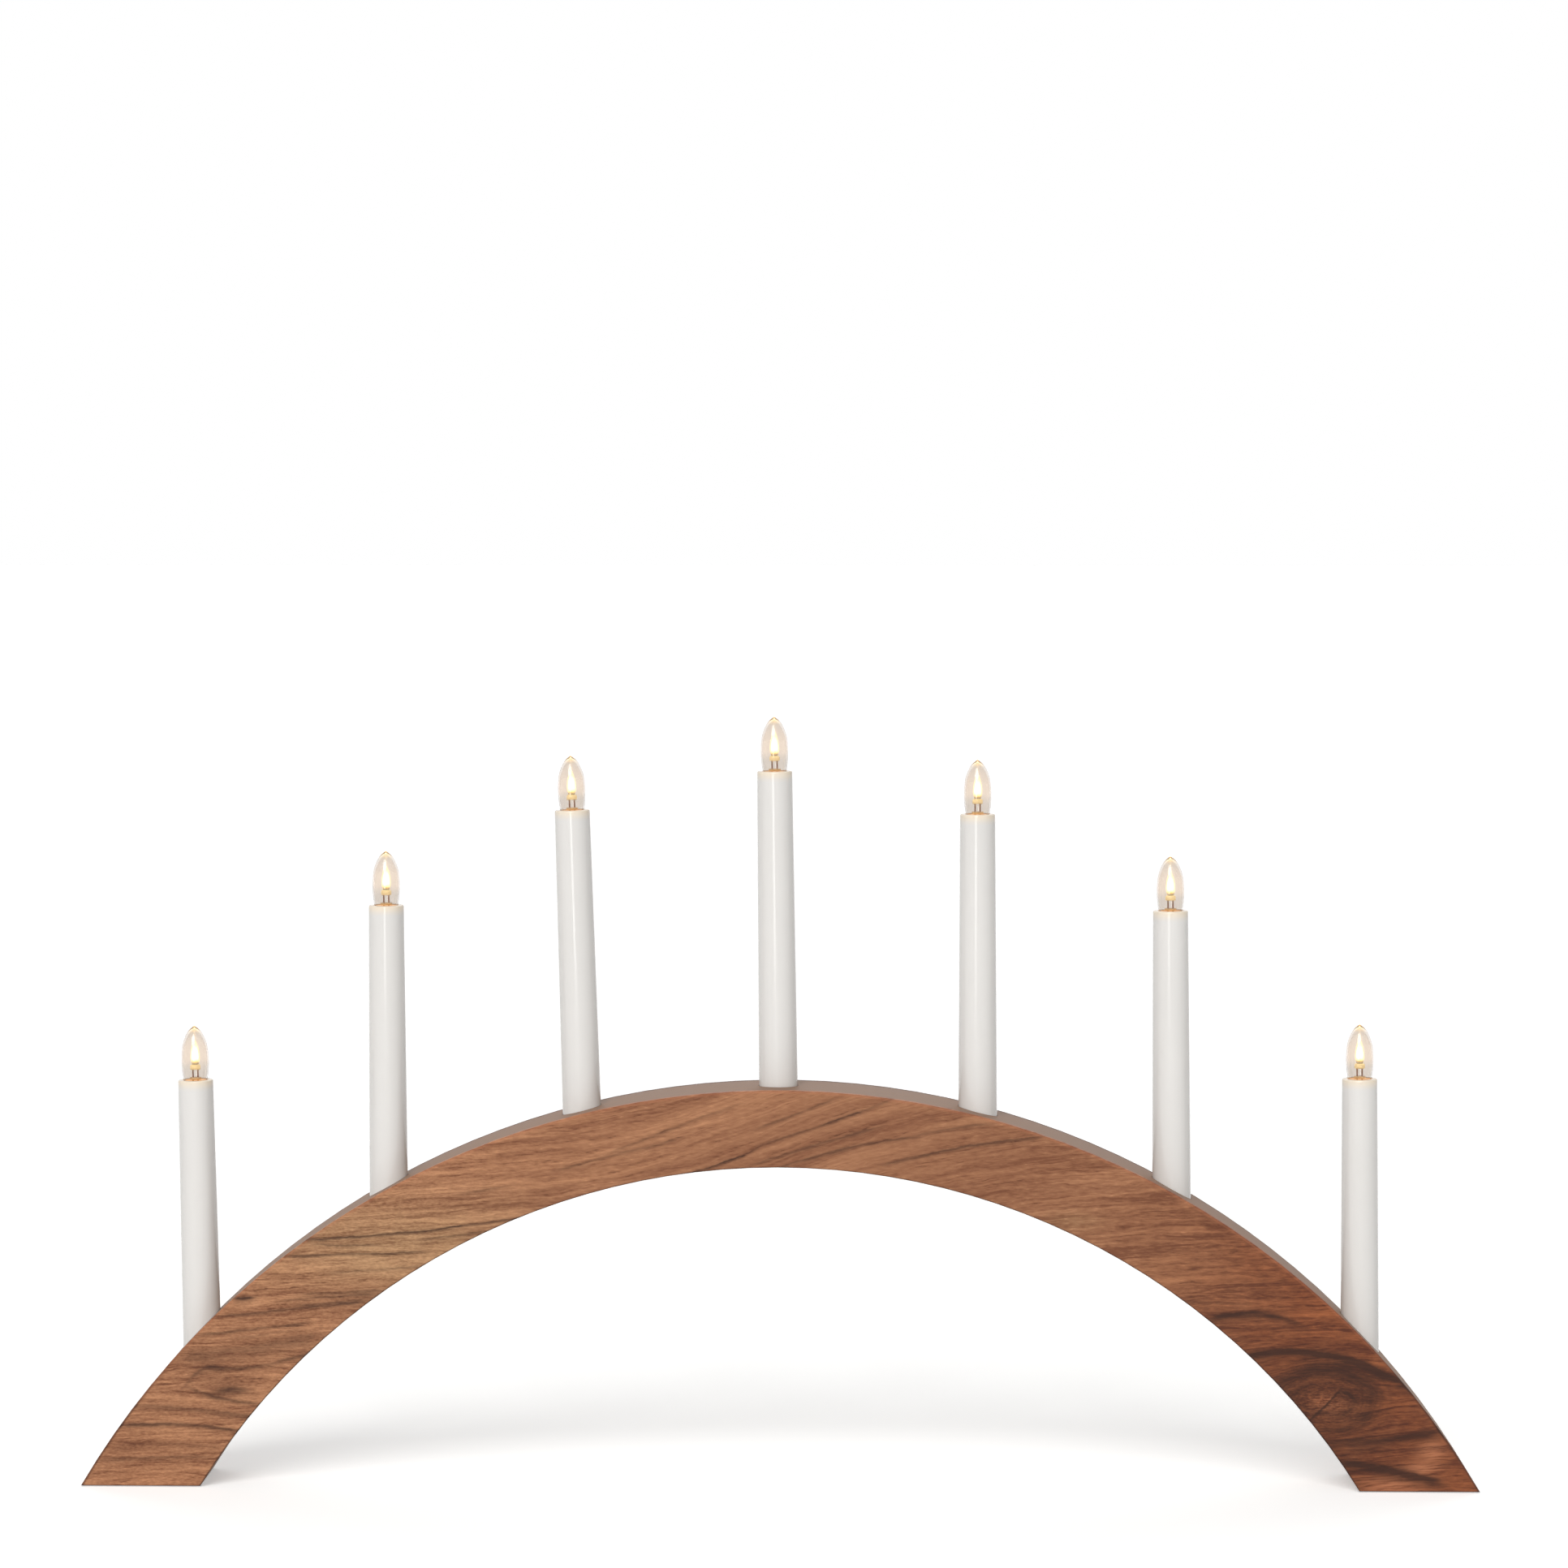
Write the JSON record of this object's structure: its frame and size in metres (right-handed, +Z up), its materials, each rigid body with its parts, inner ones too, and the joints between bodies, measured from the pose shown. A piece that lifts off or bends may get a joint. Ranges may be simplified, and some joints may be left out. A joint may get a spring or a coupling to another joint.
{
  "type": "candle arch",
  "caption": "Hollow wooden arch on two flat feet that carries a row of white candle tubes, each with a flame-shaped screw-in LED lamp; series wired, with a cord gland at the back.",
  "frame": {"origin": "on the ground under the middle of the arch, half-way through its depth", "axes": "+X to the right as seen from the front, +Y from the front panel to the back panel, +Z up"},
  "size_m": [0.7, 0.05, 0.386],
  "materials": {
    "stained_wood": "satin lacquer",
    "taupe_wood": "matt stain",
    "plain_wood": "sawn",
    "felt": "felt",
    "steel": "zinc plated",
    "wire_insulation": "matt",
    "terminal_plastic": "matt",
    "dark_plastic": "matt",
    "white_plastic": "gloss",
    "holder_plastic": "matt",
    "brass": "bright",
    "lamp_glass": "clear",
    "led": "clear lens"
  },
  "bodies": {
    "arch": {"front_panel": "stained_wood", "back_panel": "stained_wood", "top_strip": "taupe_wood", "soffit_cover": "taupe_wood", "seat_blocks": "plain_wood", "foot_pads": "felt", "cover_screws": "steel", "series_wires": "wire_insulation", "terminal_block": "terminal_plastic", "cord_gland": "dark_plastic", "contact_springs": "steel", "candle_tube_1": "white_plastic", "lamp_holder_1": "holder_plastic", "socket_shell_1": "brass", "candle_tube_2": "white_plastic", "lamp_holder_2": "holder_plastic", "socket_shell_2": "brass", "candle_tube_3": "white_plastic", "lamp_holder_3": "holder_plastic", "socket_shell_3": "brass", "candle_tube_4": "white_plastic", "lamp_holder_4": "holder_plastic", "socket_shell_4": "brass", "candle_tube_5": "white_plastic", "lamp_holder_5": "holder_plastic", "socket_shell_5": "brass", "candle_tube_6": "white_plastic", "lamp_holder_6": "holder_plastic", "socket_shell_6": "brass", "candle_tube_7": "white_plastic", "lamp_holder_7": "holder_plastic", "socket_shell_7": "brass"},
    "contact_1": {"centre_contact_1": "brass"},
    "lamp_1": {"lamp_glass_1": "lamp_glass", "lamp_cap_1": "brass", "lamp_led_1": "led"},
    "contact_2": {"centre_contact_2": "brass"},
    "lamp_2": {"lamp_glass_2": "lamp_glass", "lamp_cap_2": "brass", "lamp_led_2": "led"},
    "contact_3": {"centre_contact_3": "brass"},
    "lamp_3": {"lamp_glass_3": "lamp_glass", "lamp_cap_3": "brass", "lamp_led_3": "led"},
    "contact_4": {"centre_contact_4": "brass"},
    "lamp_4": {"lamp_glass_4": "lamp_glass", "lamp_cap_4": "brass", "lamp_led_4": "led"},
    "contact_5": {"centre_contact_5": "brass"},
    "lamp_5": {"lamp_glass_5": "lamp_glass", "lamp_cap_5": "brass", "lamp_led_5": "led"},
    "contact_6": {"centre_contact_6": "brass"},
    "lamp_6": {"lamp_glass_6": "lamp_glass", "lamp_cap_6": "brass", "lamp_led_6": "led"},
    "contact_7": {"centre_contact_7": "brass"},
    "lamp_7": {"lamp_glass_7": "lamp_glass", "lamp_cap_7": "brass", "lamp_led_7": "led"}
  },
  "joints": [
    {"name": "contact_1_lift", "type": "slide", "parent": "arch", "child": "contact_1", "axis": [-0.0201, 0, 0.9998], "range_m": [0, 0.00454]},
    {"name": "lamp_1_turn", "type": "hinge", "parent": "contact_1", "child": "lamp_1", "pos_m": [-0.29464, 0, 0.20246], "axis": [-0.0201, 0, 0.9998], "range_deg": [0, 900]},
    {"name": "contact_2_lift", "type": "slide", "parent": "arch", "child": "contact_2", "axis": [-0.0052, 0, 1], "range_m": [0, 0.00454]},
    {"name": "lamp_2_turn", "type": "hinge", "parent": "contact_2", "child": "lamp_2", "pos_m": [-0.19793, 0, 0.29093], "axis": [-0.0052, 0, 1], "range_deg": [0, 900]},
    {"name": "contact_3_lift", "type": "slide", "parent": "arch", "child": "contact_3", "axis": [-0.0305, 0, 0.9995], "range_m": [0, 0.00454]},
    {"name": "lamp_3_turn", "type": "hinge", "parent": "contact_3", "child": "lamp_3", "pos_m": [-0.10422, 0, 0.33903], "axis": [-0.0305, 0, 0.9995], "range_deg": [0, 900]},
    {"name": "contact_4_lift", "type": "slide", "parent": "arch", "child": "contact_4", "axis": [-0.0122, 0, 0.9999], "range_m": [0, 0.00454]},
    {"name": "lamp_4_turn", "type": "hinge", "parent": "contact_4", "child": "lamp_4", "pos_m": [-0.00253, 0, 0.35869], "axis": [-0.0122, 0, 0.9999], "range_deg": [0, 900]},
    {"name": "contact_5_lift", "type": "slide", "parent": "arch", "child": "contact_5", "axis": [-0.0026, 0, 1], "range_m": [0, 0.00454]},
    {"name": "lamp_5_turn", "type": "hinge", "parent": "contact_5", "child": "lamp_5", "pos_m": [0.09922, 0, 0.3373], "axis": [-0.0026, 0, 1], "range_deg": [0, 900]},
    {"name": "contact_6_lift", "type": "slide", "parent": "arch", "child": "contact_6", "axis": [-0.0079, 0, 1], "range_m": [0, 0.00454]},
    {"name": "lamp_6_turn", "type": "hinge", "parent": "contact_6", "child": "lamp_6", "pos_m": [0.19599, 0, 0.28899], "axis": [-0.0079, 0, 1], "range_deg": [0, 900]},
    {"name": "contact_7_lift", "type": "slide", "parent": "arch", "child": "contact_7", "axis": [-0.0061, 0, 1], "range_m": [0, 0.00454]},
    {"name": "lamp_7_turn", "type": "hinge", "parent": "contact_7", "child": "lamp_7", "pos_m": [0.29112, 0, 0.2047], "axis": [-0.0061, 0, 1], "range_deg": [0, 900]}
  ],
  "couplings": [
    {"joint": "contact_1_lift", "follows": "lamp_1_turn", "m_per_rad": 0.00028871},
    {"joint": "contact_2_lift", "follows": "lamp_2_turn", "m_per_rad": 0.00028871},
    {"joint": "contact_3_lift", "follows": "lamp_3_turn", "m_per_rad": 0.00028871},
    {"joint": "contact_4_lift", "follows": "lamp_4_turn", "m_per_rad": 0.00028871},
    {"joint": "contact_5_lift", "follows": "lamp_5_turn", "m_per_rad": 0.00028871},
    {"joint": "contact_6_lift", "follows": "lamp_6_turn", "m_per_rad": 0.00028871},
    {"joint": "contact_7_lift", "follows": "lamp_7_turn", "m_per_rad": 0.00028871}
  ]
}
